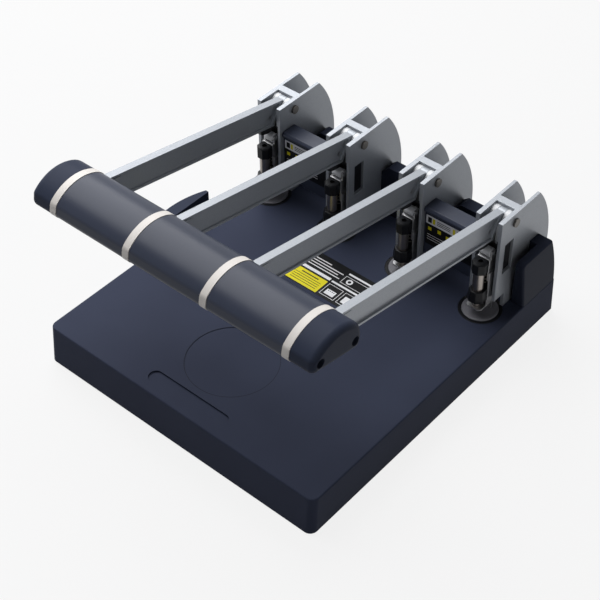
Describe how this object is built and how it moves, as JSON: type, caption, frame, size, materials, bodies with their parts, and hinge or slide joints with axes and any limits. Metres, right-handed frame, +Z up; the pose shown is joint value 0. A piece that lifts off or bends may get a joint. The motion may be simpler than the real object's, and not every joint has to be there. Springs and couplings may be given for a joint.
{
  "type": "paper punch",
  "caption": "Lever-operated desk paper punch with a row of sprung round blades, cam-driven by one wide handle on arms over a flat deck",
  "frame": {"origin": "on the desk under the centre of the base, in the plane of the feet", "axes": "+X to the right seen from the front, +Y to the rear, away from the handle, +Z up"},
  "size_m": [0.3098, 0.334, 0.1981],
  "materials": {
    "housing": "fine moulded texture",
    "underside": "black coated steel",
    "foot_rubber": "soft rubber",
    "fastener": "zinc plated steel",
    "cover": "satin moulded plastic",
    "head": "silver powder coat",
    "arm": "silver powder coat",
    "nylon": "natural nylon",
    "black_plastic": "black moulded plastic",
    "sheet_steel": "pressed sheet steel",
    "tool_steel": "ground tool steel",
    "disc_plastic": "turned grey plastic",
    "seat": "moulded plastic",
    "deck_label": "printed plate",
    "grip": "satin slate plastic",
    "ring": "fine textured light plastic",
    "alloy": "extruded aluminium",
    "spring_steel": "spring steel",
    "black_steel": "blackened steel"
  },
  "bodies": {
    "base": {"base_housing": "housing", "base_plate": "underside", "rubber_feet": "foot_rubber", "housing_screws": "fastener", "base_beam": "underside", "rear_cover": "cover", "bridge_cover_left": "cover", "bridge_cover_right": "cover", "head_bolts": "fastener", "fulcrum_pins": "fastener", "pin_spacers": "nylon", "pin_clips": "fastener", "guide_blocks": "black_plastic", "blade_bushes": "black_plastic", "strippers": "sheet_steel", "return_springs": "spring_steel", "disc_seats": "seat", "deck_plate": "deck_label", "head_frame_1": "head", "head_frame_2": "head", "head_frame_3": "head", "head_frame_4": "head"},
    "lever": {"handle_core": "alloy", "grip_left": "grip", "grip_middle": "grip", "grip_right": "grip", "handle_rings": "ring", "end_cap_left": "grip", "end_cap_right": "grip", "tie_rods": "fastener", "cap_screws": "fastener", "arm_1": "arm", "arm_2": "arm", "arm_3": "arm", "arm_4": "arm", "arm_bolts": "fastener", "cam_plates": "black_steel"},
    "punch_1": {"blade_1": "tool_steel", "blade_holder_1": "black_plastic", "carriage_1": "sheet_steel", "roller_1": "nylon"},
    "punch_2": {"blade_2": "tool_steel", "blade_holder_2": "black_plastic", "carriage_2": "sheet_steel", "roller_2": "nylon"},
    "punch_3": {"blade_3": "tool_steel", "blade_holder_3": "black_plastic", "carriage_3": "sheet_steel", "roller_3": "nylon"},
    "punch_4": {"blade_4": "tool_steel", "blade_holder_4": "black_plastic", "carriage_4": "sheet_steel", "roller_4": "nylon"},
    "disc_1": {"cutting_disc_1": "disc_plastic"},
    "disc_2": {"cutting_disc_2": "disc_plastic"},
    "disc_3": {"cutting_disc_3": "disc_plastic"},
    "disc_4": {"cutting_disc_4": "disc_plastic"},
    "side_guide": {"guide_stop": "cover", "guide_bar": "sheet_steel"}
  },
  "joints": [
    {"name": "lever_hinge", "type": "hinge", "parent": "base", "child": "lever", "pos_m": [0, 0.1107, 0.131], "axis": [1, 0, 0], "range_deg": [0, 27], "stiffness_Nm_per_rad": 2.2, "springref_deg": -68.75},
    {"name": "punch_1_slide", "type": "slide", "parent": "base", "child": "punch_1", "axis": [0, 0, -1], "range_m": [0, 0.0082], "deforming": ["return_springs"]},
    {"name": "punch_2_slide", "type": "slide", "parent": "base", "child": "punch_2", "axis": [0, 0, -1], "range_m": [0, 0.0082], "deforming": ["return_springs"]},
    {"name": "punch_3_slide", "type": "slide", "parent": "base", "child": "punch_3", "axis": [0, 0, -1], "range_m": [0, 0.0082], "deforming": ["return_springs"]},
    {"name": "punch_4_slide", "type": "slide", "parent": "base", "child": "punch_4", "axis": [0, 0, -1], "range_m": [0, 0.0082], "deforming": ["return_springs"]},
    {"name": "disc_1_spin", "type": "hinge", "parent": "base", "child": "disc_1", "pos_m": [-0.12, 0.0912, 0.039], "axis": [0, 0, 1], "continuous": true},
    {"name": "disc_2_spin", "type": "hinge", "parent": "base", "child": "disc_2", "pos_m": [-0.04, 0.0912, 0.039], "axis": [0, 0, 1], "continuous": true},
    {"name": "disc_3_spin", "type": "hinge", "parent": "base", "child": "disc_3", "pos_m": [0.04, 0.0912, 0.039], "axis": [0, 0, 1], "continuous": true},
    {"name": "disc_4_spin", "type": "hinge", "parent": "base", "child": "disc_4", "pos_m": [0.12, 0.0912, 0.039], "axis": [0, 0, 1], "continuous": true},
    {"name": "guide_slide", "type": "slide", "parent": "base", "child": "side_guide", "axis": [-1, 0, 0], "range_m": [0, 0.06]}
  ],
  "couplings": [
    {"joint": "punch_1_slide", "follows": "lever_hinge", "m_per_rad": 0.0172},
    {"joint": "punch_2_slide", "follows": "lever_hinge", "m_per_rad": 0.0172},
    {"joint": "punch_3_slide", "follows": "lever_hinge", "m_per_rad": 0.0172},
    {"joint": "punch_4_slide", "follows": "lever_hinge", "m_per_rad": 0.0172}
  ]
}
